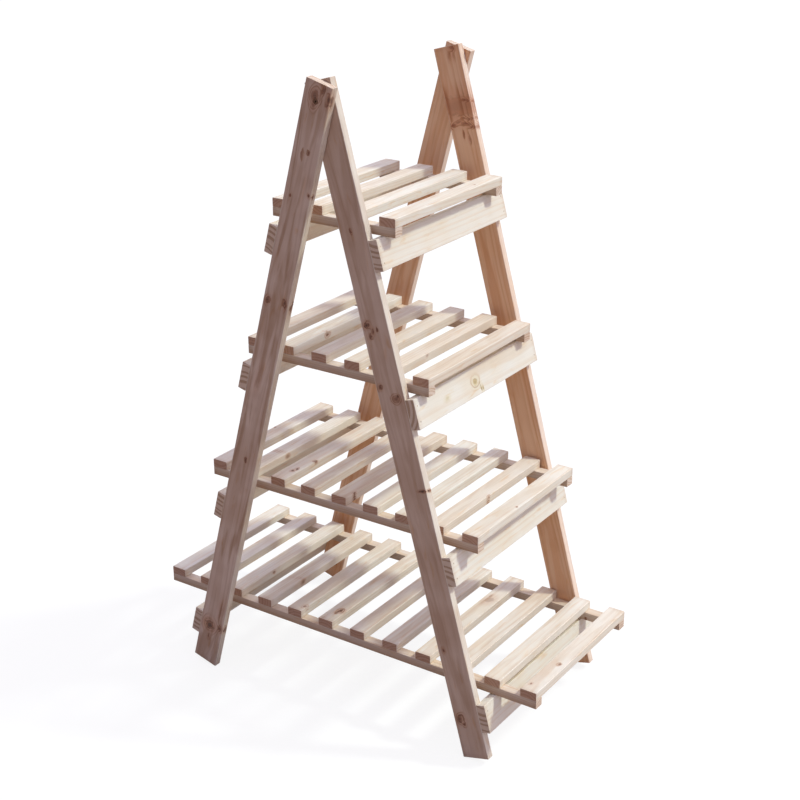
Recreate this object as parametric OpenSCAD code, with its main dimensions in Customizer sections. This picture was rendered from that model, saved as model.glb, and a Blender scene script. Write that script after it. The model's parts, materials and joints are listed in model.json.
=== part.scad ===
// Folding plant ladder stand with four loose slatted shelves.
// Two ladder frames of planed fir cross near their tops and turn on one screw at each end.
// The back frame is the outer one, and the front frame nests inside it. Each frame carries
// four tilted rails on its outward edges, and each shelf lies loose on a pair of rails.
// +X runs along the slats, -Y is the front, +Z is up, and Z = 0 is the floor.

/* [Stand] */
// Overall width across the outer pair of legs
stand_w = 400; // [300:1:600]
// Lean of every leg from upright while the stand is open, in degrees
lean = 15.2; // [12:0.1:20]

/* [Legs] */
// Length of each leg board
leg_len = 1127; // [900:1:1400]
// Width of each leg board
leg_w = 50; // [40:1:70]
// Thickness of each leg board
leg_t = 14; // [11:0.5:22]
// Distance from the top end of a leg down to the pivot
pivot_drop = 30; // [22:1:60]

/* [Rails] */
// Height of each rail board
rail_h = 50; // [36:1:70]
// Thickness of each rail board
rail_t = 16; // [12:0.5:22]
// Distance along the leg from the pivot to the top of the first rail
top_rail_drop = 219; // [160:1:300]
// Distance along the leg from its foot to the top of the lowest rail
low_rail_rise = 99; // [80:1:160]
// How much higher than even spacing each tier is nailed, from the top tier down
tier_lift = [0, 5, 0, 0]; // [0:1:20]

/* [Shelves] */
// Slats in each shelf, from the top shelf down
slat_count = [4, 6, 9, 12]; // [3:1:12]
// How far each shelf reaches past the rails at its front and back, from the top shelf down
overhang = [21, 16, 41, 88]; // [10:1:110]
// Width of each slat
slat_w = 30; // [22:1:40]
// Thickness of each slat
slat_t = 15; // [12:0.5:20]
// Height of the battens under the slats
batten_h = 15; // [12:0.5:20]
// Width of the battens along the slats
batten_w = 19; // [14:0.5:26]
// Free play between a centred shelf and the front legs, on each side
side_play = 13; // [4:0.5:30]
// Where each loose shelf lies off centre, towards the right, from the top shelf down
shift_x = [-5, -6, 9, 11]; // [-12:1:12]
// Where each loose shelf lies off centre, towards the back, from the top shelf down
shift_y = [1, 1, 11, 13]; // [-15:1:15]

/* [Pivot] */
// Shank diameter of the pivot screw, where the outer leg turns on it
shank_d = 5; // [4:0.5:8]
// Thread diameter of the pivot screw, in the inner leg
thread_d = 4; // [3:0.5:4]
// Diameter of the countersunk head
head_d = 9; // [9:0.5:14]
// Width across the flats of the hex socket in the head
socket_af = 3; // [2.5:0.5:4]
// Wood left under the tip of the screw in the inner leg
tip_cover = 3; // [2:0.5:5]
// Outer diameter of the washer between the legs
washer_d = 14; // [12:1:24]
// Thickness of the washer between the legs
washer_t = 0.8; // [0.5:0.1:2]

/* [Nails] */
// Shank diameter of the nails that hold the rails
nail_d = 1.8; // [1.4:0.1:2.6]
// Head diameter of the nails that hold the rails
nail_head_d = 2.8; // [2.7:0.1:5]
// Depth that a rail nail reaches into the leg
nail_bite = 24; // [15:1:32]
// Shank diameter of the brads that hold the slats
brad_d = 1.6; // [1.2:0.1:2.4]
// Head diameter of the brads that hold the slats
brad_head_d = 2.6; // [2:0.1:4]
// Depth that a brad reaches into the slat
brad_bite = 10; // [6:0.5:11]

/* [Clearances] */
// Radial clearance of the pivot screw in the outer leg
turn_gap = 0.05; // [0.01:0.01:0.1]
// Clearance between the washer and the outer leg
face_gap = 0.1; // [0.05:0.05:0.5]
// Radial clearance of the pivot screw in the washer
washer_play = 0.2; // [0.1:0.05:0.5]
// Radial clearance round nails and brads
nail_gap = 0.05; // [0.02:0.01:0.1]
// Clearance between a batten and the rail corner it lies on
rest_gap = 0.1; // [0.05:0.05:0.3]

/* [Hidden] */
SIDES = ["left", "right"];
LAST = len(slat_count) - 1;      // the lowest shelf
SHELVES = [0:LAST];

eased = 1;                     // flat on each long edge of a planed board
socket_deep = 2;
head_rim = 0.4;                // straight rim above the cone of the screw head
head_sunk = 0.2;               // how far the screw head lies below the leg's face
nail_head_t = 1;
brad_head_t = 0.8;
nail_from_edge = 12;           // rail nails, from the rail's long edges
brad_from_edge = 8;            // brads, from the slat's long edges
brad_stagger = 3;              // brads, either side of the batten's middle line
past = 1;                      // how far a cut runs past the face that it opens

leg_gap = washer_t + face_gap;
leg_below = leg_len - pivot_drop;
pivot_z = leg_below * cos(lean) + leg_w / 2 * sin(lean);
pivot_y = -shift_y[LAST];        // the lowest shelf, the deepest piece, is centred on Y = 0

back_leg_x = stand_w / 2 - leg_t / 2;
front_leg_x = back_leg_x - leg_t - leg_gap;
front_w = 2 * front_leg_x + leg_t;
clear_w = 2 * front_leg_x - leg_t;
shelf_l = clear_w - 2 * side_play;

tier_step = (leg_below - low_rail_rise - top_rail_drop) / LAST;
function rail_drop(s) = top_rail_drop + s * tier_step - tier_lift[s];

// The highest edge of a tilted rail is its outer top corner, where the easing begins.
rail_out = leg_w / 2 + rail_t - eased;
function shelf_z(s) = pivot_z - rail_drop(s) * cos(lean) + rail_out * sin(lean) + rest_gap;
function rail_reach(s) = rail_drop(s) * sin(lean) + (leg_w / 2 + rail_t) * cos(lean);
function shelf_depth(s) = 2 * (rail_reach(s) + overhang[s]);
function slat_pitch(s) = (shelf_depth(s) - slat_w) / (slat_count[s] - 1);
// Middle of a slat, counted from 0 at the back of the shelf
function slat_y(s, k) = (shelf_depth(s) - slat_w) / 2 - k * slat_pitch(s);

thread_len = leg_t - tip_cover;
cone_h = (head_d - shank_d) / 2;

function slat_name(s, k) = str("shelf_", s + 1, "_slat_", k + 1);
function batten_name(s, side) = str("shelf_", s + 1, "_batten_", side);
function nails_name(s) = str("shelf_", s + 1, "_brads");

// ---------- shared shapes ----------

// Section of a planed board, a by b, with its four long edges eased
module planed_section(a, b) {
    e = eased;
    polygon([
        [-a / 2 + e, -b / 2], [a / 2 - e, -b / 2], [a / 2, -b / 2 + e], [a / 2, b / 2 - e],
        [a / 2 - e, b / 2], [-a / 2 + e, b / 2], [-a / 2, b / 2 - e], [-a / 2, -b / 2 + e]
    ]);
}

// Board centred on the origin with its length along X, its depth along Y and its height along Z
module board_x(length, depth, height) {
    rotate([90, 0, 90])
        linear_extrude(length, center = true)
            planed_section(depth, height);
}

// Board centred on the origin with its length along Y, its width along X and its height along Z
module board_y(length, width, height) {
    rotate([90, 0, 0])
        linear_extrude(length, center = true)
            planed_section(width, height);
}

// Nail with its head's top at the origin, pointing along +Z; grow widens it into its hole
module nail(d, head_w, head_t, length, grow = 0) {
    point = d;
    cylinder(h = head_t, d = head_w + 2 * grow, $fn = 24);
    cylinder(h = length - point, d = d + 2 * grow, $fn = 24);
    translate([0, 0, length - point])
        cylinder(h = point, d1 = d + 2 * grow, d2 = d / 4 + 2 * grow, $fn = 24);
}

// Everything on a frame is drawn with the pivot at the origin and the legs upright
module back_frame_place() {
    translate([0, pivot_y, pivot_z])
        rotate([lean, 0, 0])
            children();
}

module front_frame_place() {
    translate([0, pivot_y, pivot_z])
        rotate([-lean, 0, 0])
            children();
}

// A shelf is drawn centred, with the underside of its battens at Z = 0
module shelf_place(s) {
    translate([shift_x[s], pivot_y + shift_y[s], shelf_z(s)])
        children();
}

// ---------- pivot hardware, drawn on the left end ----------

// Outline of the screw from the outer face of the outer leg inwards, turned about Z
module screw_profile(grow = 0, sunk = 0) {
    shank_end = leg_t + leg_gap;
    rotate_extrude($fn = 48)
        polygon([
            [0, sunk], [head_d / 2 + grow, sunk], [head_d / 2 + grow, head_sunk + head_rim],
            [shank_d / 2 + grow, head_sunk + head_rim + cone_h], [shank_d / 2 + grow, shank_end],
            [0, shank_end]
        ]);
}

module pivot_screw() {
    difference() {
        union() {
            screw_profile(0, head_sunk);
            translate([0, 0, leg_t + leg_gap])
                cylinder(h = thread_len, d = thread_d, $fn = 48);
        }
        translate([0, 0, head_sunk - past])
            cylinder(h = socket_deep + past, d = socket_af / cos(30), $fn = 6);
    }
}

module pivot_washer() {
    translate([0, 0, leg_t + face_gap])
        difference() {
            cylinder(h = washer_t, d = washer_d, $fn = 48);
            translate([0, 0, -past])
                cylinder(h = washer_t + 2 * past, d = shank_d + 2 * washer_play, $fn = 48);
        }
}

// Puts pivot hardware on the left end (turn = 1) or on the right end (turn = -1)
module pivot_place(turn) {
    translate([-turn * stand_w / 2, 0, 0])
        rotate([0, turn * 90, 0])
            children();
}

// ---------- nails ----------

// Nails through every rail end into a leg edge; to_back is 1 on the back frame, -1 on the front
module rail_nails_at(s, x, to_back, grow = 0) {
    for (z = [-nail_from_edge, nail_from_edge - rail_h])
        translate([x, to_back * (leg_w / 2 + rail_t), z - rail_drop(s)])
            rotate([to_back * 90, 0, 0])
                nail(nail_d, nail_head_d, nail_head_t, rail_t + nail_bite, grow);
}

// Two brads where a slat crosses a batten, driven up from the batten's underside
module crossing_brads(s, k, turn, grow = 0) {
    for (i = [-1, 1])
        translate([
            turn * (shelf_l - batten_w) / 2 + i * brad_stagger,
            slat_y(s, k) + i * (slat_w / 2 - brad_from_edge),
            0
        ])
            nail(brad_d, brad_head_d, brad_head_t, batten_h + brad_bite, grow);
}

// ---------- frames ----------

// Leg board with its bore or pilot hole still to be cut
module leg_board() {
    translate([0, 0, pivot_drop - leg_len / 2])
        rotate([0, 90, 0])
            board_x(leg_len, leg_w, leg_t);
}

module back_leg(turn) {
    color("#d8b48c")
        back_frame_place()
            difference() {
                translate([-turn * back_leg_x, 0, 0])
                    leg_board();
                pivot_place(turn)
                    screw_profile(turn_gap, -past);
                for (s = SHELVES)
                    rail_nails_at(s, -turn * back_leg_x, 1, nail_gap);
            }
}

module front_leg(turn) {
    color("#dcbb93")
        front_frame_place()
            difference() {
                translate([-turn * front_leg_x, 0, 0])
                    leg_board();
                pivot_place(turn)
                    translate([0, 0, leg_t])
                        cylinder(h = leg_gap + thread_len, d = thread_d + 2 * nail_gap, $fn = 48);
                for (s = SHELVES)
                    rail_nails_at(s, -turn * front_leg_x, -1, nail_gap);
            }
}

module back_rail(s) {
    color("#e3c7a2")
        back_frame_place()
            difference() {
                translate([0, (leg_w + rail_t) / 2, -rail_drop(s) - rail_h / 2])
                    board_x(stand_w, rail_t, rail_h);
                for (turn = [-1, 1])
                    rail_nails_at(s, turn * back_leg_x, 1, nail_gap);
            }
}

module front_rail(s) {
    color("#ead2b0")
        front_frame_place()
            difference() {
                translate([0, -(leg_w + rail_t) / 2, -rail_drop(s) - rail_h / 2])
                    board_x(front_w, rail_t, rail_h);
                for (turn = [-1, 1])
                    rail_nails_at(s, turn * front_leg_x, -1, nail_gap);
            }
}

module back_rail_nails() {
    color("#8c8f92")
        back_frame_place()
            for (s = SHELVES, turn = [-1, 1])
                rail_nails_at(s, turn * back_leg_x, 1);
}

module front_rail_nails() {
    color("#8c8f92")
        front_frame_place()
            for (s = SHELVES, turn = [-1, 1])
                rail_nails_at(s, turn * front_leg_x, -1);
}

module pivot_screws() {
    color("#a9abad")
        front_frame_place()
            for (turn = [-1, 1])
                pivot_place(turn)
                    pivot_screw();
}

module pivot_washers() {
    color("#b5b7b9")
        front_frame_place()
            for (turn = [-1, 1])
                pivot_place(turn)
                    pivot_washer();
}

// ---------- shelves ----------

module batten(s, turn) {
    color("#cda77b")
        shelf_place(s)
            difference() {
                translate([turn * (shelf_l - batten_w) / 2, 0, batten_h / 2])
                    board_y(shelf_depth(s), batten_w, batten_h);
                for (k = [0:slat_count[s] - 1])
                    crossing_brads(s, k, turn, nail_gap);
            }
}

module slat(s, k) {
    color("#ecd8ba")
        shelf_place(s)
            difference() {
                translate([0, slat_y(s, k), batten_h + slat_t / 2])
                    board_x(shelf_l, slat_w, slat_t);
                for (turn = [-1, 1])
                    crossing_brads(s, k, turn, nail_gap);
            }
}

module shelf_brads(s) {
    color("#8c8f92")
        shelf_place(s)
            for (k = [0:slat_count[s] - 1], turn = [-1, 1])
                crossing_brads(s, k, turn);
}

back_leg(1);  // back_leg_left
back_leg(-1);  // back_leg_right
front_leg(1);  // front_leg_left
front_leg(-1);  // front_leg_right
back_rail_nails();
front_rail_nails();
pivot_screws();
pivot_washers();
for (s = SHELVES) {
    back_rail(s);
    front_rail(s);
    batten(s, -1);
    batten(s, 1);
    shelf_brads(s);
    for (k = [0:slat_count[s] - 1])
        slat(s, k);
}
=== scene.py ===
import json
import math
import random

import bmesh
import bpy
from mathutils import Matrix, Vector


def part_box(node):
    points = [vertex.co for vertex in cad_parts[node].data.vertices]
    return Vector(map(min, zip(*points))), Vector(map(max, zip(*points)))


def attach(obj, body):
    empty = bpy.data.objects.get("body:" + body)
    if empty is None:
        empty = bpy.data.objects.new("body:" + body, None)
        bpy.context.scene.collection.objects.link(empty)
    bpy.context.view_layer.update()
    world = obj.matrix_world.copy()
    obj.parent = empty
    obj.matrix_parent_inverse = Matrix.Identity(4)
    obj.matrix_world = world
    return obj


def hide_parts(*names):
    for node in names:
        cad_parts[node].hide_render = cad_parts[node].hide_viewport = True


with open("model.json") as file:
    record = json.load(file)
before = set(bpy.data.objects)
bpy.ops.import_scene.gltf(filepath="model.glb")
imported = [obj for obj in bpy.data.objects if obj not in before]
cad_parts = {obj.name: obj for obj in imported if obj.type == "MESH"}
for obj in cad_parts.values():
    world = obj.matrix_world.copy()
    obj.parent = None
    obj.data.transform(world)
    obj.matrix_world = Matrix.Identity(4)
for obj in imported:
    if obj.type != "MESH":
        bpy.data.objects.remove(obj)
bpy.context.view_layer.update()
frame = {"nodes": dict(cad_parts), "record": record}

MM = 0.001


# ---------- camera and light ----------

CAMERA_EYE = (-2.02121, -1.39943, 1.51958)
CAMERA_TURN = (67.788, 0.233, -55.906)      # degrees about X, Y and Z
CAMERA_LENS = 69.36                         # millimetres, as the sensor's width
CAMERA_SENSOR = 36

SUN_AZIMUTH = math.radians(35)              # from the front towards the right
SUN_HEIGHT = math.radians(49)
SUN_WIDTH = math.radians(6)
SUN_STRENGTH = 2.0
SUN_TINT = (0.925, 1.0, 0.91)
TOP_FROM = (0.45, -0.35, 1)                 # above, a little to the right and the front
TOP_WIDTH = math.radians(125)
TOP_STRENGTH = 1.85
TOP_TINT = (0.94, 0.86, 1.0)
LAMP_AWAY = 3                               # no matter how far, for lamps of this kind
SKY_STRENGTH = 0.30
SKY_COLOUR = "#d7d5ff"
FLOOR_SIZE = 24
FLOOR_DROP = 0.4 * MM                       # clear of the feet, which stand at zero
FLOOR_BOUNCE = "#a59385"                    # what the floor throws back on the wood
FLOOR_SEEN = "#6e6e6e"                      # with the glow it is white, and a little grey in shadow
FLOOR_GLOW = 0.87


def place_camera():
    """Looks at the stand as the photo does."""
    camera = bpy.data.objects.new("camera", bpy.data.cameras.new("camera"))
    bpy.context.scene.collection.objects.link(camera)
    camera.location = CAMERA_EYE
    camera.rotation_euler = [math.radians(angle) for angle in CAMERA_TURN]
    camera.data.sensor_width = CAMERA_SENSOR
    camera.data.lens = CAMERA_LENS
    bpy.context.scene.camera = camera


def hang_lamp(name, towards, strength, width, tint):
    """A lamp far away in one direction; the wider it is, the softer its shadows."""
    lamp = bpy.data.objects.new(name, bpy.data.lights.new(name, "SUN"))
    bpy.context.scene.collection.objects.link(lamp)
    lamp.data.energy = strength
    lamp.data.angle = width
    lamp.data.color = tint
    lamp.rotation_euler = towards.to_track_quat("Z", "Y").to_euler()
    lamp.location = towards * LAMP_AWAY


def light_stand():
    """A key light high on the front right, and a very wide one overhead that softens it."""
    key = Vector((
        math.sin(SUN_AZIMUTH) * math.cos(SUN_HEIGHT),
        -math.cos(SUN_AZIMUTH) * math.cos(SUN_HEIGHT),
        math.sin(SUN_HEIGHT),
    ))
    hang_lamp("key_light", key, SUN_STRENGTH, SUN_WIDTH, SUN_TINT)
    hang_lamp("overhead_light", Vector(TOP_FROM).normalized(), TOP_STRENGTH, TOP_WIDTH, TOP_TINT)


# ---------- one way to add a node ----------

def add(tree, kind, inputs=None, **settings):
    """Adds a node; an input given as a socket is linked, any other is set. Returns its outputs."""
    node = tree.nodes.new("ShaderNode" + kind)
    for name, value in settings.items():
        setattr(node, name, value)
    for key, value in (inputs or {}).items():
        if isinstance(value, bpy.types.NodeSocket):
            tree.links.new(value, node.inputs[key])
        else:
            node.inputs[key].default_value = value
    return node.outputs


def colour(code):
    """sRGB hex to the linear colour that a shader takes."""
    channels = [int(code[start:start + 2], 16) / 255 for start in (1, 3, 5)]
    linear = [
        channel / 12.92 if channel <= 0.04045 else ((channel + 0.055) / 1.055) ** 2.4
        for channel in channels
    ]
    return (*linear, 1.0)


def empty_material(name):
    """A new material and its empty node tree."""
    material = bpy.data.materials.new(name)
    material.use_nodes = True
    material.node_tree.nodes.clear()
    return material, material.node_tree


# ---------- floor and background ----------

def plain_ray(tree):
    """1 for what the camera sees, straight, in gloss or through glass, and 0 for rays that light."""
    path = add(tree, "LightPath")
    seen = path["Is Camera Ray"]
    for kind in ("Is Glossy Ray", "Is Transmission Ray"):
        seen = add(tree, "Math", {0: seen, 1: path[kind]}, operation="MAXIMUM")[0]
    return seen


def lay_floor():
    """Pale studio floor: white to the eye, with the object's faint shadow, and a modest bounce."""
    bpy.ops.object.select_all(action="DESELECT")
    bpy.ops.mesh.primitive_plane_add(size=FLOOR_SIZE, location=(0, 0, -FLOOR_DROP))
    floor = bpy.context.object
    floor.name = "studio_floor"
    material, tree = empty_material("matt_white_floor")
    seen = plain_ray(tree)
    bounce = add(tree, "BsdfDiffuse", {"Color": colour(FLOOR_BOUNCE)})[0]
    pale = add(tree, "BsdfDiffuse", {"Color": colour(FLOOR_SEEN)})[0]
    glow = add(tree, "Emission", {"Color": colour("#ffffff"), "Strength": FLOOR_GLOW})[0]
    shown = add(tree, "AddShader", {0: pale, 1: glow})[0]
    mixed = add(tree, "MixShader", {0: seen, 1: bounce, 2: shown})[0]
    add(tree, "OutputMaterial", {"Surface": mixed})
    floor.data.materials.append(material)


def light_sky():
    """Even, slightly cool light from all round, which the camera sees as a white backdrop."""
    world = bpy.data.worlds.new("soft_studio")
    bpy.context.scene.world = world
    world.use_nodes = True
    tree = world.node_tree
    tree.nodes.clear()
    seen = plain_ray(tree)
    soft = add(tree, "Background", {"Color": colour(SKY_COLOUR), "Strength": SKY_STRENGTH})[0]
    white = add(tree, "Background", {"Color": colour("#ffffff"), "Strength": 1.0})[0]
    mixed = add(tree, "MixShader", {0: seen, 1: soft, 2: white})[0]
    add(tree, "OutputWorld", {"Surface": mixed})


# ---------- fir, as its growth shows on a board ----------
# Every board carries three vectors at its vertices. "grain" is the place in the trunk that the wood
# came from: along the pith, across, and outwards from the pith. "place" is the place on the board
# itself, measured from its centre. "cut" holds how dark the board is, how much of its stain shows,
# which is partly painted shade on its shaded faces, and the share of branch places that carry a knot.

BRANCH_SLOPE = 0.18             # how much a branch rises for each metre outwards
BRANCH_SPREAD = 1.5             # radians, the fan of branches that can meet the board
THICK_BRANCH = 9 * MM           # past this a branch swells the wood no further
RUFFLES = ((22 * MM, 8 * MM), (6 * MM, 2.2 * MM))     # size and depth of a branch's wavering
FAINT = 0.5                     # a knot no darker than this is only a stain in the wood
STRAY_DARK = 0.75               # how dark a stray knot is
STRAY_STRETCH = 1.6             # how much longer than wide a stray knot is
STRAY_SIZES = 1.6               # the higher it is, the more of them are thin
FINE_KNOTS = (85 * MM, 0.8 * MM, 2.2 * MM)            # spacing, thinnest and thickest radius
COARSE_KNOTS = (240 * MM, 2.5 * MM, 6.5 * MM)
HAIR = 0.01 * MM                # a length too small to see

TRUNK = 40                      # long enough for every board to come from its own part of it
PITH_SWAY = 14 * MM             # how far the pith wanders
PITH_STEPS = (330 * MM, 140 * MM, 140 * MM)           # how slowly it wanders along and across
SWELL = (2.8, 0.3)              # radii off a branch where the rings begin to swell and swell most
SWELL_HEIGHT = 1.9              # how far they swell, in thicknesses of the branch
SEASON_PACE = 0.45              # how soon bad years follow good ones
SEASON_SHIFT = 2.2              # and how many rings that shifts
LATE_BEGINS = 0.30              # share of a year's growth after which the wood darkens
LATE_DARKEST = 0.90
FAINTEST_RING = 0.3             # against the strongest

# The parts of a knot: where each begins and where it is full, in radii of the knot, and how soon it
# is lost on a fainter knot. The bark is measured from the knot's rim.
KNOT_PARTS = {
    "core": (1.05, 0.80, 1.5),
    "heart": (0.80, 0.30, 3),
    "near": (3.0, 1.0, 1),
    "bark": (0.30, 0.06, 3),
}

# Noises drawn out along the grain: length, thickness and kind of noise, the level of the noise where
# the figure begins and where it is full, and how it comes up between them. Fibres are under 0.1 mm
# thick and are drawn 1.1 mm thick so that they show. Streaks of mineral stain are some 10 mm wide.
# Resin lies in yellow spots. Patches are about a hand wide.
FIGURES = {
    "fibre": (45 * MM, 1.1 * MM, {"Detail": 3.0, "Roughness": 0.6}, 0.3, 0.7, "LINEAR"),
    "streak": (150 * MM, 17 * MM, {"Detail": 3.0, "Distortion": 0.8}, 0.44, 0.62, "SMOOTHSTEP"),
    "resin": (45 * MM, 9 * MM, {"Detail": 2.0, "Distortion": 0.5}, 0.58, 0.78, "SMOOTHSTEP"),
    "patch": (70 * MM, 70 * MM, {"Detail": 2.0}, 0.35, 0.65, "LINEAR"),
}
FIBRE_SHADES = (0.95, 1.03)     # brightness between the fibres and on them
FIBRE_ROUGHNESS = (0.62, 0.50)  # and their roughness
RESIN_SHOWS = 0.4
PATCH_SHOWS = 0.5
SIDE_DEEP = (0.4 * MM, 1.6 * MM)                      # where a side's colour starts to fade, and ends
PLUS_Z_SIDE_SHARE = 0.3                  # how much of the stain and painted shade the +z side has, against the shaded -z side
DAMP = 12 * MM                  # how far a sawn end has drawn in damp
DAMP_SHOWS = 0.25
HALO_SHOWS = 0.6
LATE_BY_KNOT = 1.1              # how much more the late wood shows next to a knot
LATE_RAISED = 0.5               # how far late wood stands out, against the fibres
PLANED_RELIEF = 0.12 * MM
PORE = 0.8 * MM                 # fibre ends are finer; drawn as coarse as this so that they show
PORE_SHADES = (0.88, 1.05)
BAND_FULL = 0.4                 # late wood this strong makes a whole band on a sawn end
SAW_MARK = 1.6 * MM
SAW_TURN = 0.5                  # radians, how far the marks of the blade lean
SAW_DEEP = 0.8                  # against the pores
SAWN_RELIEF = 0.25 * MM
FIR_IOR = 1.5

# Stains that all boards share.
DARKER_BOARD = "#efdccf"
YELLOW_RESIN = "#f2cf98"
DAMP_WOOD = "#d2b7a2"
CROWDED_LATE_WOOD = "#6d4836"
KNOT_BARK = "#4c3126"
KNOT_HEART = "#3c271f"


class Timber:
    """How one board was sawn out of its trunk."""

    def __init__(self, pith, tilt, along, tone, heart, knotty):
        self.pith = pith            # across and up from the board's centre to the pith
        self.tilt = tilt            # how fast the pith runs off along the board
        self.along = along          # how far along the trunk the board was
        self.tone = tone            # how dark the whole board is
        self.heart = heart          # how much of its stain shows, which is partly painted shade
        self.knotty = knotty        # share of branch places that carry a knot

    def in_trunk(self, point):
        """Place in the trunk of a point of the board."""
        # out leads from the pith to the board's centre
        out = -Vector(self.pith).normalized()
        y = point[1] - self.pith[0] - self.tilt[0] * point[0]
        z = point[2] - self.pith[1] - self.tilt[1] * point[0]
        return Vector((point[0] + self.along, y * out.y - z * out.x, y * out.x + z * out.y))


class Fir:
    """Colours of a kind of board: early wood, late wood, stain that is partly painted shade, streaks,
    patches and knots.
    """

    def __init__(self, pale, late, ring, contrast, heart="#ffffff", edge=0.0, flat=1.0,
                 streak="#f3e0c4", streaky=0.4, patch="#faf0e2", halo="#dba985", core="#8e5f45"):
        self.pale = pale            # early wood
        self.late = late            # late wood
        self.ring = ring            # spacing of the growth rings
        self.contrast = contrast    # how far late wood is from early wood
        self.heart = heart          # colour of the stain: a heartwood tint and painted shade on the board's shaded faces
        self.edge = edge            # how much of the stain and painted shade shows on the sides
        self.flat = flat            # and how much on the top and bottom
        self.streak = streak
        self.streaky = streaky      # how strong the streaks are
        self.patch = patch
        self.halo = halo            # stain round a knot
        self.core = core            # wood of the knot itself


def grain_marks(board, timber):
    """Writes the timber's vectors on the board."""
    mesh = board.data
    marks = {
        "grain": [timber.in_trunk(vertex.co) for vertex in mesh.vertices],
        "place": [vertex.co for vertex in mesh.vertices],
        "cut": [(timber.tone, timber.heart, timber.knotty)] * len(mesh.vertices),
    }
    for name, rows in marks.items():
        layer = mesh.attributes.new(name, "FLOAT_VECTOR", "POINT")
        layer.data.foreach_set("vector", [number for row in rows for number in row])


def stray_branches(tree, grain, rough, share, spacing, thinnest, thickest):
    """Branches at random places along the pith: how far off the nearest is, in its own radii."""
    # every place along the pith where a branch can be has three random numbers
    even = add(tree, "SeparateXYZ", {0: grain})
    step = add(tree, "Math", {0: even[0], 1: 1 / spacing}, operation="MULTIPLY")[0]
    near = add(tree, "TexVoronoi", {"W": step, "Scale": 1.0, "Randomness": 0.6},
               voronoi_dimensions="1D")
    part = add(tree, "SeparateXYZ", {0: rough})
    chance = add(tree, "SeparateColor", {0: near["Color"]})

    # the first turns the branch; outward is measured along it and across at right angles to it
    turn = add(tree, "Math", {0: chance[0], 1: BRANCH_SPREAD, 2: -BRANCH_SPREAD / 2},
               operation="MULTIPLY_ADD")[0]
    cosine = add(tree, "Math", {0: turn}, operation="COSINE")[0]
    sine = add(tree, "Math", {0: turn}, operation="SINE")[0]
    flat = add(tree, "CombineXYZ", {0: part[1], 1: part[2]})[0]
    branch = add(tree, "CombineXYZ", {0: sine, 1: cosine})[0]
    square = add(tree, "Math", {0: sine, 1: -1.0}, operation="MULTIPLY")[0]
    beside = add(tree, "CombineXYZ", {0: cosine, 1: square})[0]
    outward = add(tree, "VectorMath", {0: flat, 1: branch}, operation="DOT_PRODUCT")["Value"]
    across = add(tree, "VectorMath", {0: flat, 1: beside}, operation="DOT_PRODUCT")["Value"]

    # the branch leans up the trunk as it goes outwards
    place = add(tree, "Math", {0: near["W"], 1: spacing}, operation="MULTIPLY")[0]
    off = add(tree, "Math", {0: part[0], 1: place}, operation="SUBTRACT")[0]
    rise = add(tree, "Math", {0: outward, 1: -BRANCH_SLOPE, 2: off}, operation="MULTIPLY_ADD")[0]
    rise = add(tree, "Math", {0: rise, 1: STRAY_STRETCH}, operation="DIVIDE")[0]
    gap = add(tree, "CombineXYZ", {0: rise, 1: across})[0]
    distance = add(tree, "VectorMath", {0: gap}, operation="LENGTH")["Value"]

    # the second makes it thick or, more often, thin; the third says whether it is there, and if it
    # isn't it is too thin to see
    size = add(tree, "Math", {0: chance[1], 1: STRAY_SIZES}, operation="POWER")[0]
    radius = add(tree, "MapRange", {0: size, 3: thinnest, 4: thickest})[0]
    there = add(tree, "Math", {0: chance[2], 1: share}, operation="LESS_THAN")[0]
    radius = add(tree, "Math", {0: radius, 1: there}, operation="MULTIPLY")[0]
    radius = add(tree, "Math", {0: radius, 1: HAIR}, operation="MAXIMUM")[0]
    ratio = add(tree, "Math", {0: distance, 1: radius}, operation="DIVIDE")[0]
    return ratio, radius, STRAY_DARK


def known_branch(tree, rough, timber, knot):
    """A branch that meets the board's face in a knot at a known place."""
    x, y, z, radius = (number * MM for number in knot[:4])
    dark, stretch = knot[4:]

    # it rises from its root at the pith to the knot
    face = timber.in_trunk((x, y, z))
    reach = math.hypot(face.y, face.z)
    root = Vector((face.x - BRANCH_SLOPE * reach, 0, 0))
    axis = (face - root).normalized()
    from_root = add(tree, "VectorMath", {0: rough, 1: root}, operation="SUBTRACT")[0]
    foot = add(tree, "VectorMath", {0: from_root, 1: axis}, operation="PROJECT")[0]
    off = add(tree, "VectorMath", {0: from_root, 1: foot}, operation="SUBTRACT")[0]
    off = add(tree, "VectorMath", {0: off, 1: (1 / stretch, 1, 1)}, operation="MULTIPLY")[0]
    distance = add(tree, "VectorMath", {0: off}, operation="LENGTH")["Value"]
    ratio = add(tree, "Math", {0: distance, 1: radius}, operation="DIVIDE")[0]

    # a flat knot swells the wood less than a round one
    thick = min(radius, THICK_BRANCH) * min(1, 1.2 * stretch)
    return ratio, thick, dark


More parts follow.
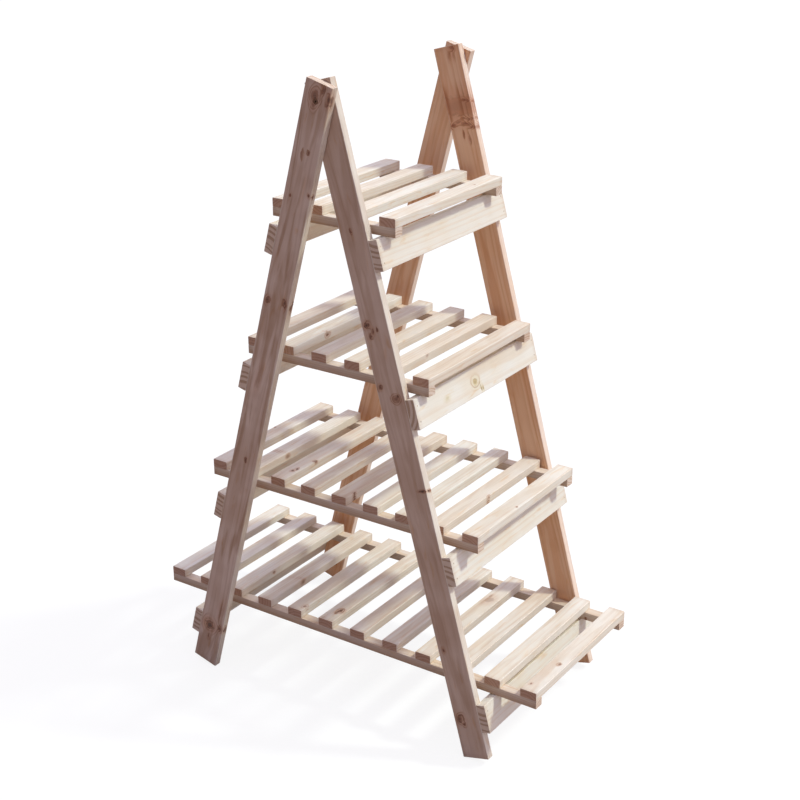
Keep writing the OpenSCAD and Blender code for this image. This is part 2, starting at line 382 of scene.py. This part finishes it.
def growth(tree, ring, knot_rows, timber=None, knots=()):
    """Late wood and the parts of knots, each from 0 to 1, with the marks that they come from."""
    grain = add(tree, "Attribute", attribute_name="grain")["Vector"]
    cut = add(tree, "Attribute", attribute_name="cut")["Vector"]
    cut = add(tree, "SeparateXYZ", {0: cut})

    # the pith wanders by some millimetres along the trunk
    slow = add(tree, "VectorMath", {0: grain, 1: PITH_STEPS}, operation="DIVIDE")[0]
    drift = add(tree, "TexNoise", {"Vector": slow, "Scale": 1.0, "Detail": 2.0})["Color"]
    sway = Vector((0, PITH_SWAY, PITH_SWAY))
    bent = add(tree, "VectorMath", {0: drift, 1: sway, 2: grain}, operation="MULTIPLY_ADD")[0]
    bent = add(tree, "VectorMath", {0: bent, 1: -sway / 2}, operation="ADD")[0]
    flat = add(tree, "VectorMath", {0: bent, 1: (0, 1, 1)}, operation="MULTIPLY")[0]
    radius = add(tree, "VectorMath", {0: flat}, operation="LENGTH")["Value"]

    # no branch is quite round or straight: its outline wavers by a millimetre or two
    rough = grain
    for size, deep in RUFFLES:
        waver = Vector((deep, deep, deep))
        ruffle = add(tree, "TexNoise", {"Vector": grain, "Scale": 1 / size, "Detail": 2.0})["Color"]
        rough = add(tree, "VectorMath", {0: ruffle, 1: waver, 2: rough}, operation="MULTIPLY_ADD")[0]
        rough = add(tree, "VectorMath", {0: rough, 1: -waver / 2}, operation="ADD")[0]

    # the layers of wood swell outwards round every branch
    branches = [stray_branches(tree, grain, rough, cut[2], *row) for row in knot_rows]
    branches += [known_branch(tree, rough, timber, knot) for knot in knots]
    marks = dict.fromkeys(KNOT_PARTS, 0.0)
    for ratio, thick, dark in branches:
        if dark > FAINT:
            swell = add(tree, "MapRange", {0: ratio, 1: SWELL[0], 2: SWELL[1]},
                        interpolation_type="SMOOTHERSTEP")[0]
            swell = add(tree, "Math", {0: swell, 1: thick}, operation="MULTIPLY")[0]
            radius = add(tree, "Math", {0: swell, 1: -SWELL_HEIGHT, 2: radius},
                         operation="MULTIPLY_ADD")[0]
        off_rim = add(tree, "Math", {0: ratio, 1: 1.0}, operation="SUBTRACT")[0]
        off_rim = add(tree, "Math", {0: off_rim}, operation="ABSOLUTE")[0]
        for name, (outside, inside, fading) in KNOT_PARTS.items():
            far = off_rim if name == "bark" else ratio
            mask = add(tree, "MapRange", {0: far, 1: outside, 2: inside, 4: dark ** fading},
                       interpolation_type="SMOOTHSTEP")[0]
            marks[name] = add(tree, "Math", {0: marks[name], 1: mask}, operation="MAXIMUM")[0]

    # good and bad years change the spacing, and each ring has its own strength
    years = add(tree, "Math", {0: radius, 1: 1 / ring}, operation="MULTIPLY")[0]
    season = add(tree, "TexNoise", {"W": years, "Scale": SEASON_PACE, "Detail": 1.0},
                 noise_dimensions="1D")[0]
    years = add(tree, "Math", {0: season, 1: SEASON_SHIFT, 2: years}, operation="MULTIPLY_ADD")[0]
    phase = add(tree, "Math", {0: years}, operation="FRACT")[0]
    rise = add(tree, "MapRange", {0: phase, 1: LATE_BEGINS, 2: LATE_DARKEST},
               interpolation_type="SMOOTHERSTEP")[0]
    drop = add(tree, "MapRange", {0: phase, 1: 1.0, 2: LATE_DARKEST},
               interpolation_type="SMOOTHSTEP")[0]
    year = add(tree, "Math", {0: years}, operation="FLOOR")[0]
    chance = add(tree, "TexWhiteNoise", {"W": year}, noise_dimensions="1D")["Value"]
    strength = add(tree, "MapRange", {0: chance, 3: FAINTEST_RING, 4: 1.0})[0]
    late = add(tree, "Math", {0: rise, 1: drop}, operation="MULTIPLY")[0]
    marks["late"] = add(tree, "Math", {0: late, 1: strength}, operation="MULTIPLY")[0]
    marks["grain"] = grain
    marks["tone"] = cut[0]
    marks["stain"] = cut[1]
    marks["ruffle"] = ruffle
    return marks


def planed_fir(name, fir, section, length, timber=None, knots=()):
    """Planed fir: silky pale wood with darker late-wood lines, a reddish stain that is partly painted
    shade, and brown knots.
    """
    material, tree = empty_material(name)

    # wood that many boards share has fine stray knots only; a board with a wood of its own has
    # both sorts, or none where every knot is known
    strays = [FINE_KNOTS]
    if timber:
        strays = [FINE_KNOTS, COARSE_KNOTS] if timber.knotty else []
    wood = growth(tree, fir.ring, strays, timber, knots)
    grain = wood["grain"]

    # fibres, streaks, resin and patches
    shows = {"fibre": 1.0, "streak": fir.streaky, "resin": RESIN_SHOWS, "patch": PATCH_SHOWS}
    figures = {}
    for figure, (long, thick, noise, begins, full, rising) in FIGURES.items():
        drawn = add(tree, "VectorMath", {0: grain, 1: (long, thick, thick)}, operation="DIVIDE")[0]
        level = add(tree, "TexNoise", {"Vector": drawn, "Scale": 1.0, **noise})[0]
        figures[figure] = add(tree, "MapRange", {0: level, 1: begins, 2: full, 4: shows[figure]},
                              interpolation_type=rising)[0]
    fibre = figures["fibre"]
    shade = add(tree, "MapRange", {0: fibre, 3: FIBRE_SHADES[0], 4: FIBRE_SHADES[1]})[0]
    shade = add(tree, "CombineColor", {0: shade, 1: shade, 2: shade})[0]

    # sides have no streaks, and less or more of the stain and painted shade than top and bottom
    place = add(tree, "Attribute", attribute_name="place")["Vector"]
    spot = add(tree, "SeparateXYZ", {0: place})
    off = add(tree, "Math", {0: spot[1]}, operation="ABSOLUTE")[0]
    side, inside = (section[0] / 2 - deep for deep in SIDE_DEEP)
    flat = add(tree, "MapRange", {0: off, 1: side, 2: inside}, interpolation_type="SMOOTHSTEP")[0]
    streak = add(tree, "Math", {0: figures["streak"], 1: flat}, operation="MULTIPLY")[0]
    stain = add(tree, "MapRange", {0: flat, 3: fir.edge, 4: fir.flat})[0]
    stain = add(tree, "Math", {0: stain, 1: wood["stain"]}, operation="MULTIPLY")[0]

    # painted shade: the stain is full on a board's -z side and weaker on its +z side, so a leg's
    # shaded left face is darker than its right face and a batten's sides are darker towards the
    # bottom
    half = section[1] / 2
    redder = add(tree, "MapRange", {0: spot[2], 1: -half, 2: half, 3: 1.0, 4: PLUS_Z_SIDE_SHARE})[0]
    stain = add(tree, "Math", {0: stain, 1: redder}, operation="MULTIPLY")[0]

    # a board is a little darker near its sawn ends
    end = add(tree, "Math", {0: spot[0]}, operation="ABSOLUTE")[0]
    damp = add(tree, "MapRange", {0: end, 1: length / 2 - DAMP, 2: length / 2, 4: DAMP_SHOWS},
               interpolation_type="SMOOTHSTEP")[0]

    # late wood crowds and darkens round a knot, which has a dark heart and broken bark at its rim
    depth = add(tree, "Math", {0: wood["near"], 1: LATE_BY_KNOT, 2: fir.contrast},
                operation="MULTIPLY_ADD")[0]
    depth = add(tree, "Math", {0: depth, 1: wood["late"]}, operation="MULTIPLY")[0]
    burnt = add(tree, "Math", {0: wood["near"], 1: wood["near"]}, operation="MULTIPLY")[0]
    burnt = add(tree, "Math", {0: burnt, 1: wood["late"]}, operation="MULTIPLY")[0]
    halo = add(tree, "Math", {0: wood["near"], 1: HALO_SHOWS}, operation="MULTIPLY")[0]
    speck = add(tree, "SeparateColor", {0: wood["ruffle"]})
    gap = add(tree, "MapRange", {0: speck[1], 1: 0.40, 2: 0.60}, interpolation_type="SMOOTHSTEP")[0]
    bark = add(tree, "Math", {0: wood["bark"], 1: gap}, operation="MULTIPLY")[0]

    tint = colour(fir.pale)
    for amount, stained, blend in (
        (depth, colour(fir.late), "MIX"),
        (1.0, shade, "MULTIPLY"),
        (streak, colour(fir.streak), "MULTIPLY"),
        (figures["patch"], colour(fir.patch), "MULTIPLY"),
        (figures["resin"], colour(YELLOW_RESIN), "MULTIPLY"),
        (wood["tone"], colour(DARKER_BOARD), "MULTIPLY"),
        # the stain: a heartwood tint, and painted shade on shaded faces
        (stain, colour(fir.heart), "MULTIPLY"),
        (damp, colour(DAMP_WOOD), "MULTIPLY"),
        (halo, colour(fir.halo), "MULTIPLY"),
        (burnt, colour(CROWDED_LATE_WOOD), "MIX"),
        (wood["core"], colour(fir.core), "MIX"),
        (bark, colour(KNOT_BARK), "MIX"),
        (wood["heart"], colour(KNOT_HEART), "MIX"),
    ):
        tint = add(tree, "Mix", {0: amount, 6: tint, 7: stained},
                   data_type="RGBA", blend_type=blend)[2]

    height = add(tree, "Math", {0: wood["late"], 1: LATE_RAISED, 2: fibre},
                 operation="MULTIPLY_ADD")[0]
    relief = add(tree, "Bump", {"Strength": 0.35, "Distance": PLANED_RELIEF, "Height": height})[0]
    rough = add(tree, "MapRange", {0: fibre, 3: FIBRE_ROUGHNESS[0], 4: FIBRE_ROUGHNESS[1]})[0]
    surface = add(tree, "BsdfPrincipled", {
        "Base Color": tint, "Roughness": rough, "Normal": relief, "IOR": FIR_IOR,
        "Specular IOR Level": 0.35,
    })[0]
    add(tree, "OutputMaterial", {"Surface": surface})
    return material


def sawn_fir(name, pale, late, ring):
    """Sawn end of fir: rings as soft bands, open fibre ends and the marks of the blade."""
    material, tree = empty_material(name)
    wood = growth(tree, ring, ())
    grain = wood["grain"]
    pores = add(tree, "TexNoise", {"Vector": grain, "Scale": 1 / PORE, "Detail": 2.0})[0]
    pores = add(tree, "MapRange", {0: pores, 1: 0.35, 2: 0.65})[0]
    shade = add(tree, "MapRange", {0: pores, 3: PORE_SHADES[0], 4: PORE_SHADES[1]})[0]
    shade = add(tree, "CombineColor", {0: shade, 1: shade, 2: shade})[0]
    band = add(tree, "MapRange", {0: wood["late"], 2: BAND_FULL}, interpolation_type="SMOOTHSTEP")[0]
    tint = colour(pale)
    for amount, stained, blend in (
        (band, colour(late), "MIX"),
        (1.0, shade, "MULTIPLY"),
        (wood["tone"], colour(DARKER_BOARD), "MULTIPLY"),
    ):
        tint = add(tree, "Mix", {0: amount, 6: tint, 7: stained},
                   data_type="RGBA", blend_type=blend)[2]
    cuts = add(tree, "Mapping", {
        "Vector": grain, "Rotation": (SAW_TURN, 0, 0), "Scale": (0, 1 / SAW_MARK, 0),
    })[0]
    saw = add(tree, "TexNoise", {"Vector": cuts, "Scale": 1.0, "Detail": 1.0})[0]
    height = add(tree, "Math", {0: saw, 1: SAW_DEEP, 2: pores}, operation="MULTIPLY_ADD")[0]
    relief = add(tree, "Bump", {"Strength": 0.5, "Distance": SAWN_RELIEF, "Height": height})[0]
    surface = add(tree, "BsdfPrincipled", {
        "Base Color": tint, "Roughness": 0.85, "Normal": relief, "IOR": FIR_IOR,
        "Specular IOR Level": 0.2,
    })[0]
    add(tree, "OutputMaterial", {"Surface": surface})
    return material


STEEL_CLOUD = 2.5 * MM
STEEL_WIPE = 0.25 * MM
STEEL_RELIEF = 0.03 * MM


def dulled_steel(name, bright, dull, roughness):
    """Steel, handled and a little dulled: cloudy patches and fine wiping marks."""
    material, tree = empty_material(name)
    spot = add(tree, "TexCoord")["Object"]
    cloud = add(tree, "TexNoise", {"Vector": spot, "Scale": 1 / STEEL_CLOUD, "Detail": 3.0})[0]
    cloud = add(tree, "MapRange", {0: cloud, 1: 0.35, 2: 0.65})[0]
    fine = add(tree, "TexNoise", {"Vector": spot, "Scale": 1 / STEEL_WIPE, "Detail": 1.0})[0]
    tint = add(tree, "Mix", {0: cloud, 6: colour(bright), 7: colour(dull)}, data_type="RGBA")[2]
    rough = add(tree, "MapRange", {0: cloud, 3: roughness - 0.08, 4: roughness + 0.1})[0]
    relief = add(tree, "Bump", {"Strength": 0.3, "Distance": STEEL_RELIEF, "Height": fine})[0]
    surface = add(tree, "BsdfPrincipled", {
        "Base Color": tint, "Metallic": 1.0, "Roughness": rough, "Normal": relief,
    })[0]
    add(tree, "OutputMaterial", {"Surface": surface})
    return material


# ---------- boards ----------

TIERS = (1, 2, 3, 4)                        # counted from the top
LEAN = math.radians(15.2)                   # of every leg and rail
LEG = (1127 * MM, 50 * MM, 14 * MM)         # length, width and thickness
RAIL = (16 * MM, 50 * MM)                   # thickness and height
PIVOT_DROP = 30 * MM                        # from the leg's top end to the screw
EASED = 1.2 * MM                            # rounding of the long edges
SAWN = 0.35 * MM                            # the slight break of a sawn end
WAVER = 0.12 * MM                           # how much an eased edge wavers
SMOOTH_UP_TO = math.radians(38)             # edges flatter than this are shaded smooth
STATION = 25 * MM                           # length of a batten between its cross lines
END_FACE = 0.99                             # how squarely a sawn end looks along its board

# The near legs are streaked, and their stain paints greyish pink shade on their shaded left faces; on
# the far legs it paints the warm orange that light bounced off the lit shelves gives their shaded
# faces. Rails and slats are pale.
# Battens are pale above, and their stain paints brown shade on their sides.
BACK_LEG_FIR = Fir("#eeebde", "#cbb8a0", 5.2 * MM, 0.45, heart="#ebdad5",
                   streak="#ccb5a1", streaky=0.6, patch="#cdb49e")
FRONT_LEG_FIR = Fir("#eeebde", "#cbb8a0", 5.2 * MM, 0.3, heart="#e4d1c9",
                    streak="#d9c8ba", streaky=0.5, patch="#dfcfc2")
FAR_LEG_FIR = Fir("#f2ebe1", "#d6b494", 5.2 * MM, 0.45, heart="#ffdbba", edge=0.45,
                  streak="#e9c6a4", halo="#cf8d70", core="#b06a45")
RAIL_FIR = Fir("#eeebde", "#e2cfb4", 9 * MM, 0.45, halo="#ece0b0", core="#d3c283")
SLAT_FIR = Fir("#eeebde", "#dfc8ab", 5.5 * MM, 0.45, streak="#ebe0d4", streaky=0.5)
BATTEN_FIR = Fir("#e7e1d5", "#cdb698", 4.5 * MM, 0.5, heart="#cbb09b", edge=1.0, flat=0.0)

# Knots on the left wide faces of the legs, in millimetres and shares: down from the top end, across,
# radius, how dark the knot is and how long it is drawn out along the grain.
LEG_KNOTS = {
    "back_leg_left": [
        (22, 3, 7, 0.75, 1.3), (29, 2, 3.6, 1.0, 1.4), (36, 2, 3.5, 0.6, 1.6), (8, -10, 2.5, 0.8, 2),
        (19, -22, 2.4, 0.85, 4), (111, -4, 1.7, 0.9, 1.3), (117, 6, 1.1, 0.6, 7),
        (176, -21, 1.4, 0.9, 2), (188, 13, 1.2, 0.7, 1.6), (376, 17, 3, 0.85, 1.6),
        (366, -16, 2.4, 0.9, 1.8), (372, -19, 1.4, 0.8, 5), (520, 5, 3.5, 0.4, 9),
        (677, -3, 2, 0.95, 1.6), (1008, -12, 3, 0.5, 7), (1046, 4, 9, 0.85, 1.0),
        (1048, 3, 3.5, 0.95, 1.4), (1042, -19, 3.2, 0.85, 1.4), (1070, 1, 1.5, 0.8, 4),
    ],
    "front_leg_left": [
        (231, 4, 1.2, 0.9, 2.2), (380, 15, 3.4, 0.95, 1.2), (390, 6, 1.8, 0.8, 2.5),
        (388, -2, 1.3, 0.85, 2), (398, 12, 2.2, 0.85, 1.6), (481, 18, 2.2, 0.85, 1.6),
        (501, -9, 5.5, 0.75, 0.8), (498, -13, 1.8, 0.9, 1.5), (656, -18, 5.5, 1.0, 0.3),
        (933, 13, 1.6, 0.8, 2.5), (1056, 13, 5, 0.8, 1.4), (1066, 7, 2, 0.8, 1.6),
    ],
    "front_leg_right": [
        (100, -4, 44, 0.5, 0.36), (94, -18, 3, 0.75, 0.7), (112, 12, 7, 0.5, 0.3),
        (117, 0, 7, 0.5, 0.3), (123, -14, 7, 0.55, 0.3), (131, 18, 6, 0.7, 0.4),
        (127, 6, 7, 0.6, 0.3), (131, -7, 7, 0.65, 0.35), (137, -18, 5, 0.6, 0.5),
        (147, 1, 1.4, 0.6, 5), (156, -8, 1.3, 0.55, 6), (4, -10, 3, 0.7, 1.5),
        (15, -1, 1.6, 0.45, 5), (15, -10, 1.6, 0.45, 5),
    ],
}

# Knots on slats, in millimetres: the pith across and up, then each knot along, across, up, radius,
# how dark it is and how long it is drawn out.
SLAT_KNOTS = {
    "shelf_2_slat_2": ((34, -12), [(-64, -15, 2, 3.2, 0.65, 1.3)]),
    "shelf_2_slat_5": ((30, -2), [(-62, -15, 3, 1.8, 0.45, 1.3)]),
    "shelf_3_slat_2": ((32, 6), [(-66, -15, 1, 3, 0.5, 1.3)]),
    "shelf_3_slat_3": ((10, -26), [
        (-121, -3, 7.5, 2.2, 0.95, 1.4), (-112, -6, 7.5, 2, 0.9, 1.8), (-69, -13, 7.5, 2.2, 0.8, 1.3),
    ]),
    "shelf_4_slat_3": ((36, -10), [(-64, -15, 2, 2.4, 0.6, 1.3)]),
    "shelf_4_slat_4": ((30, 4), [(-64, -15, 2, 2.8, 0.5, 1.3)]),
    "shelf_4_slat_5": ((-8, -30), [(-140, -10, 7.5, 2.6, 0.6, 1.5)]),
    "shelf_4_slat_6": ((6, -24), [(-119, -5, 7.5, 3.6, 0.85, 1.4), (-127, -2, 7.5, 2, 0.8, 2)]),
    "shelf_4_slat_9": ((-6, -28), [(60, 1, 7.5, 7, 0.45, 1.6), (74, 6, 7.5, 3, 0.45, 1.4)]),
}

# Knots on a front rail, written as on the slats.
RAIL_KNOTS = {
    "front_rail_2": ((46, 14), [
        (-12, -8, -2, 6, 0.58, 1.1), (-9, -8, 1, 3, 0.35, 1.2), (1, -8, -15, 4.5, 0.75, 0.3),
        (7, -8, -17, 4, 0.7, 0.3), (-98, -8, -2, 3, 0.45, 1.8),
    ]),
}

# Screws and nails are as wide and as deep as in CAD, so that their heads fit these holes.
SCREW_HEAD = 9 * MM
SCREW_SHANK = 5 * MM
SCREW_SUNK = 0.6 * MM                       # straight part of the countersink
NAIL_HEAD = 2.8 * MM
NAIL_HEAD_DEEP = 1 * MM
NAIL_FROM_EDGE = 12 * MM
BRAD_HEAD = 2.6 * MM
BRAD_HEAD_DEEP = 0.8 * MM
BRAD_FROM_EDGE = 8 * MM
BRAD_STAGGER = 3 * MM                       # off the batten's middle, one to each side
PLAY = 0.05 * MM                            # round a head in its hole
PAST = 1 * MM                               # how far a cutter reaches out of the wood
ROUND = 20                                  # sides of a round hole


def choose(piece, kind, wanted):
    """Goes into edit mode with only the wanted vertices or edges of the piece selected."""
    bpy.ops.object.select_all(action="DESELECT")
    piece.select_set(True)
    bpy.context.view_layer.objects.active = piece
    bpy.ops.object.mode_set(mode="EDIT")
    bpy.ops.mesh.select_mode(type=kind)
    bpy.ops.mesh.select_all(action="DESELECT")
    mesh = bmesh.from_edit_mesh(piece.data)
    parts = {"VERT": mesh.verts, "EDGE": mesh.edges}[kind]
    for part in parts:
        if wanted(part):
            part.select_set(True)
    bmesh.update_edit_mesh(piece.data)


def planed_board(name, length, depth, height, stations):
    """Board with its long edges rounded and its ends sawn, with cross lines for small unevenness."""
    bpy.ops.object.select_all(action="DESELECT")
    bpy.ops.mesh.primitive_cube_add(size=1, scale=(length, depth, height))
    board = bpy.context.object
    board.name = name

    def runs_long(edge):
        return abs(edge.verts[0].co.x - edge.verts[1].co.x) > length / 2

    choose(board, "EDGE", runs_long)
    bpy.ops.mesh.bevel(offset=EASED, segments=3, affect="EDGES")
    bpy.ops.object.mode_set(mode="OBJECT")
    choose(board, "EDGE", runs_long)
    bpy.ops.mesh.subdivide(number_cuts=stations)
    bpy.ops.object.mode_set(mode="OBJECT")
    choose(board, "EDGE", lambda edge: all(abs(end.co.x) > length / 2 - HAIR for end in edge.verts))
    bpy.ops.mesh.bevel(offset=SAWN, segments=1, affect="EDGES")
    bpy.ops.object.mode_set(mode="OBJECT")
    return board


def drill(board, cutter):
    """Cuts the cutter out of the board and takes the cutter away."""
    bpy.ops.object.select_all(action="DESELECT")
    bpy.context.view_layer.objects.active = board
    board.select_set(True)
    hole = board.modifiers.new("holes", "BOOLEAN")
    hole.operation = "DIFFERENCE"
    hole.solver = "EXACT"
    hole.object = cutter
    bpy.ops.object.modifier_apply(modifier=hole.name)
    bpy.data.objects.remove(cutter)


def head_holes(places, width, deep, axis):
    """Cutter for flush heads at these places; axis points out of the wood."""
    bpy.ops.object.select_all(action="DESELECT")
    turn = Vector(axis).to_track_quat("Z", "Y").to_euler()
    holes = []
    for place in places:
        middle = Vector(place) + Vector(axis) * (PAST - deep) / 2
        bpy.ops.mesh.primitive_cylinder_add(vertices=ROUND, radius=width / 2 + PLAY,
                                            depth=deep + PAST, location=middle, rotation=turn)
        holes.append(bpy.context.object)
    for hole in holes:
        hole.select_set(True)
    bpy.context.view_layer.objects.active = holes[0]
    if len(holes) > 1:
        bpy.ops.object.join()
    cutter = bpy.context.object
    bpy.ops.object.transform_apply(location=True, rotation=True, scale=True)
    return cutter


def screw_hole(place, axis):
    """Cutter for the bore and countersink of the pivot screw; axis points out of the wood."""
    bore = head_holes([place], SCREW_SHANK, 2 * LEG[2], axis)
    head = head_holes([place], SCREW_HEAD, SCREW_SUNK, axis)
    cone_deep = (SCREW_HEAD - SCREW_SHANK) / 2
    middle = Vector(place) - Vector(axis) * (SCREW_SUNK + cone_deep / 2)
    turn = Vector(axis).to_track_quat("Z", "Y").to_euler()
    bpy.ops.object.select_all(action="DESELECT")
    bpy.ops.mesh.primitive_cone_add(vertices=ROUND, radius1=SCREW_SHANK / 2 + PLAY,
                                    radius2=SCREW_HEAD / 2 + PLAY, depth=cone_deep,
                                    location=middle, rotation=turn)
    cone = bpy.context.object
    bpy.ops.object.transform_apply(location=True, rotation=True, scale=True)
    return bore, head, cone


def board_like(master, node, body, laid, timber, materials):
    """Copies a board, wears its edges a little, marks its grain and lays it where its node is."""
    board = master.copy()
    board.data = master.data.copy()
    board.name = "fir_" + node
    bpy.context.scene.collection.objects.link(board)

    # the edges waver, but the board keeps its size
    half = [max(vertex.co[axis] for vertex in board.data.vertices) for axis in range(3)]

    def on_edge(vertex):
        return all(abs(vertex.co[axis]) > half[axis] - 1.5 * EASED for axis in (1, 2))

    choose(board, "VERT", on_edge)
    seed = random.Random(node).randrange(1, 9999)
    bpy.ops.transform.vertex_random(offset=WAVER, uniform=0.0, normal=0.0, seed=seed)
    bpy.ops.object.mode_set(mode="OBJECT")
    for vertex in board.data.vertices:
        vertex.co = [max(-far, min(far, number)) for number, far in zip(vertex.co, half)]
    bpy.ops.object.shade_smooth_by_angle(angle=SMOOTH_UP_TO)
    even = board.modifiers.new("even_shading", "WEIGHTED_NORMAL")
    even.keep_sharp = True
    bpy.ops.object.modifier_apply(modifier=even.name)

    # its first material is for the planed faces and its second for the sawn ends
    grain_marks(board, timber)
    for material in materials:
        board.data.materials.append(material)
    for face in board.data.polygons:
        face.material_index = 1 if abs(face.normal.x) > END_FACE else 0
    low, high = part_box(node)
    board.data.transform(Matrix.Translation((low + high) / 2) @ laid)
    board.data.update()
    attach(board, body)
    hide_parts(node)


def saw_out(luck, pith, crooked, tones, heart, knotty):
    """Timber with its pith at a place given in millimetres and the rest, within bounds, by luck."""
    pith = [number * MM for number in pith]
    tilt = (luck.uniform(-crooked, crooked), luck.uniform(-crooked, crooked))
    return Timber(pith, tilt, luck.uniform(0, TRUNK), luck.uniform(*tones), heart, knotty)


def build_legs(end_wood):
    """Four legs; those of the back frame are bored for the pivot screws."""
    length, width, thick = LEG
    master = planed_board("leg_pattern", length, width, thick, stations=36)
    upright = Matrix.Rotation(math.pi / 2, 4, "Y")

    # pith, tilt, along, tone, heart and knotty, as in Timber; heart is the share of the stain, partly
    # painted shade
    timbers = {
        "back_leg_left": Timber((4 * MM, -34 * MM), (0.004, 0.006), 0.0, 0.3, 1.0, 0.0),
        "front_leg_left": Timber((-6 * MM, -38 * MM), (0.003, -0.007), 3.1, 0.3, 1.0, 0.0),
        "front_leg_right": Timber((5 * MM, -30 * MM), (-0.004, 0.005), 5.7, 0.1, 1.0, 0.1),
        "back_leg_right": Timber((-3 * MM, -33 * MM), (0.005, 0.006), 9.6, 0.1, 1.0, 0.1),
    }
    for node, timber in timbers.items():
        back = node.startswith("back")
        lean = Matrix.Rotation(LEAN if back else -LEAN, 4, "X")
        knots = [
            (down - length / MM / 2, across, -thick / MM / 2, *knot)
            for down, across, *knot in LEG_KNOTS.get(node, ())
        ]
        fir = FAR_LEG_FIR
        if node.endswith("left"):
            fir = BACK_LEG_FIR if back else FRONT_LEG_FIR
        wood = planed_fir("planed_fir_" + node, fir, LEG[1:], length, timber, knots)
        body = "back_frame" if back else "front_frame"
        pattern = master

        # the pivot screw goes in from the outer face
        if back:
            pattern = master.copy()
            pattern.data = master.data.copy()
            bpy.context.scene.collection.objects.link(pattern)
            out = Vector((0, 0, -1 if node.endswith("left") else 1))
            centre = Vector((PIVOT_DROP - length / 2, 0, 0)) + out * thick / 2
            for cutter in screw_hole(centre, out):
                drill(pattern, cutter)
        board_like(pattern, node, body, lean @ upright, timber, [wood, end_wood])
        if back:
            bpy.data.objects.remove(pattern)
    bpy.data.objects.remove(master)


def build_rails(end_wood):
    """Eight rails, with two flush nails at each end."""
    thick, high = RAIL
    for side, outward in (("back", 1), ("front", -1)):
        low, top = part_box(side + "_rail_1")
        length = top.x - low.x
        master = planed_board(side + "_rail_pattern", length, thick, high, stations=18)
        out = Vector((0, outward, 0))
        places = [
            (end * (length - LEG[2]) / 2, outward * thick / 2, edge * (high / 2 - NAIL_FROM_EDGE))
            for end in (-1, 1) for edge in (-1, 1)
        ]
        drill(master, head_holes(places, NAIL_HEAD, NAIL_HEAD_DEEP, out))
        laid = Matrix.Rotation(outward * LEAN, 4, "X")
        for tier in TIERS:
            node = f"{side}_rail_{tier}"
            luck = random.Random(node)

            # a pith well above or below makes the front and back quarter-sawn
            pith = (luck.uniform(-20, 20), luck.choice([-1, 1]) * luck.uniform(38, 60))
            pith, knots = RAIL_KNOTS.get(node, (pith, []))
            timber = saw_out(luck, pith, crooked=0.01, tones=(0.0, 0.25), heart=0.0,
                             knotty=0.0 if knots else 0.08)
            wood = planed_fir("planed_fir_" + node, RAIL_FIR, RAIL, length, timber, knots)
            board_like(master, node, side + "_frame", laid, timber, [wood, end_wood])
        bpy.data.objects.remove(master)


def build_shelves(slat_end, batten_end):
    """Four shelves: slats across two battens, with brads driven from below."""
    bodies = frame["record"]["behaviour"]["bodies"]
    low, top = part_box("shelf_1_slat_1")
    slat = top - low
    slat_master = planed_board("slat_pattern", slat.x, slat.y, slat.z, stations=14)
    slat_size = ((slat.y, slat.z), slat.x)
    slat_wood = planed_fir("planed_fir_slats", SLAT_FIR, *slat_size)
    for tier in TIERS:
        body = f"shelf_{tier}"
        slats = sorted(node for node in bodies[body] if "_slat_" in node)
        for node in slats:
            luck = random.Random(node)

            # a pith above or below makes the top flat-sawn
            angle = luck.choice([-1, 1]) * math.pi / 2 + luck.uniform(-0.7, 0.7)
            reach = luck.uniform(22, 60)
            pith = (reach * math.cos(angle), reach * math.sin(angle))
            pith, knots = SLAT_KNOTS.get(node, (pith, []))
            timber = saw_out(luck, pith, crooked=0.02, tones=(0.0, 0.35), heart=0.0,
                             knotty=0.0 if knots else 0.25)
            wood = slat_wood
            if knots:
                wood = planed_fir("planed_fir_" + node, SLAT_FIR, *slat_size, timber, knots)
            board_like(slat_master, node, body, Matrix.Identity(4), timber, [wood, slat_end])
        low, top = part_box(body + "_batten_left")
        batten = top - low
        stations = round(batten.y / STATION)
        master = planed_board("batten_pattern", batten.y, batten.x, batten.z, stations)
        pitch = (batten.y - slat.y) / (len(slats) - 1)

        # two brads wherever a slat crosses the batten
        places = [
            (
                (batten.y - slat.y) / 2 - number * pitch + side * (slat.y / 2 - BRAD_FROM_EDGE),
                -side * BRAD_STAGGER,
                -batten.z / 2,
            )
            for number in range(len(slats)) for side in (-1, 1)
        ]
        drill(master, head_holes(places, BRAD_HEAD, BRAD_HEAD_DEEP, (0, 0, -1)))
        wood = planed_fir(f"planed_fir_battens_{tier}", BATTEN_FIR, (batten.x, batten.z), batten.y)
        laid = Matrix.Rotation(math.pi / 2, 4, "Z")
        # the left battens carry the full stain, as painted shade on their shaded sides, and the right
        # ones half
        for end, heart in (("left", 1.0), ("right", 0.5)):
            node = f"{body}_batten_{end}"
            luck = random.Random(node)
            pith = (luck.uniform(-30, 30), luck.choice([-1, 1]) * luck.uniform(25, 50))
            timber = saw_out(luck, pith, crooked=0.01, tones=(0.2, 0.6), heart=heart, knotty=0.2)
            board_like(master, node, body, laid, timber, [wood, batten_end])
        bpy.data.objects.remove(master)
    bpy.data.objects.remove(slat_master)


def dress_metal():
    """Browned screws and washers, and nails dulled until they are close to the wood's own colour."""
    dark = dulled_steel("browned_screw_steel", "#65493c", "#4a342a", 0.6)
    wire = dulled_steel("dulled_wire_nail", "#cbbdab", "#b8a996", 0.5)
    for node, piece in frame["nodes"].items():
        if node.startswith("pivot_"):
            finish = dark
        elif node.endswith(("_nails", "_brads")):
            finish = wire
        else:
            continue
        for slot in piece.material_slots:
            slot.material = finish


place_camera()
light_stand()
light_sky()
lay_floor()
pale_end = sawn_fir("sawn_fir_pale_ends", "#ebddcd", "#d6bda2", 5.2 * MM)
build_legs(pale_end)
build_rails(sawn_fir("sawn_fir_rail_ends", "#e0ccb6", "#bca086", 9 * MM))
build_shelves(sawn_fir("sawn_fir_slat_ends", "#c6a48c", "#b9947c", 5.5 * MM), pale_end)
dress_metal()

view = bpy.context.scene.view_settings
view.view_transform = "Standard"
